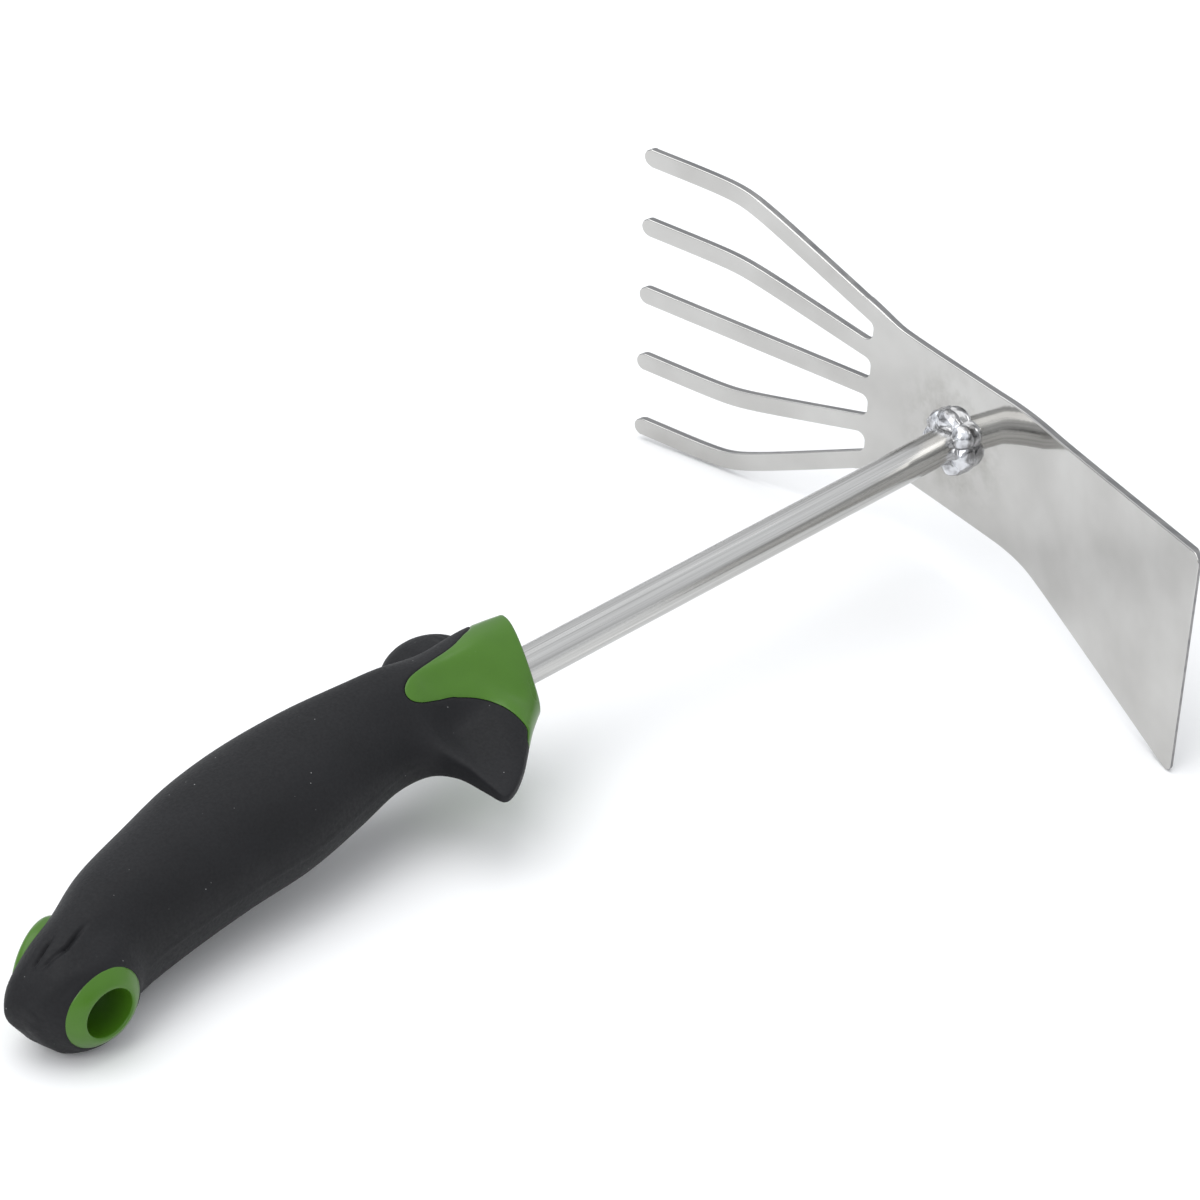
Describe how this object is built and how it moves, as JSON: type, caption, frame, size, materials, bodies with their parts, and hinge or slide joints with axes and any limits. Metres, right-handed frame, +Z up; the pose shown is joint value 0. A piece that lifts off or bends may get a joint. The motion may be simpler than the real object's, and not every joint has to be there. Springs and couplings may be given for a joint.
{
  "type": "hand cultivator",
  "caption": "Hand cultivator: a stamped steel fork and hoe blade welded across a round shank, with a soft-grip handle that hangs from a hole.",
  "frame": {"origin": "centre of the bounding box in X and Y, at the plane the tool lies on", "axes": "+X along the shank from the handle toward the head, +Y toward the tines, +Z up, away from the ground the tool lies on"},
  "size_m": [0.2723, 0.183, 0.0773],
  "materials": {
    "head_plate": "polished stainless sheet with sheared edges",
    "shank": "drawn stainless rod, brushed lengthwise",
    "weld_bead": "bright weld metal",
    "handle_core": "moulded, half gloss",
    "rubber_grip": "soft-touch, dull"
  },
  "bodies": {
    "root": {"head_plate": "head_plate", "shank": "shank", "weld_bead": "weld_bead", "handle_core": "handle_core", "rubber_grip": "rubber_grip"}
  },
  "joints": []
}
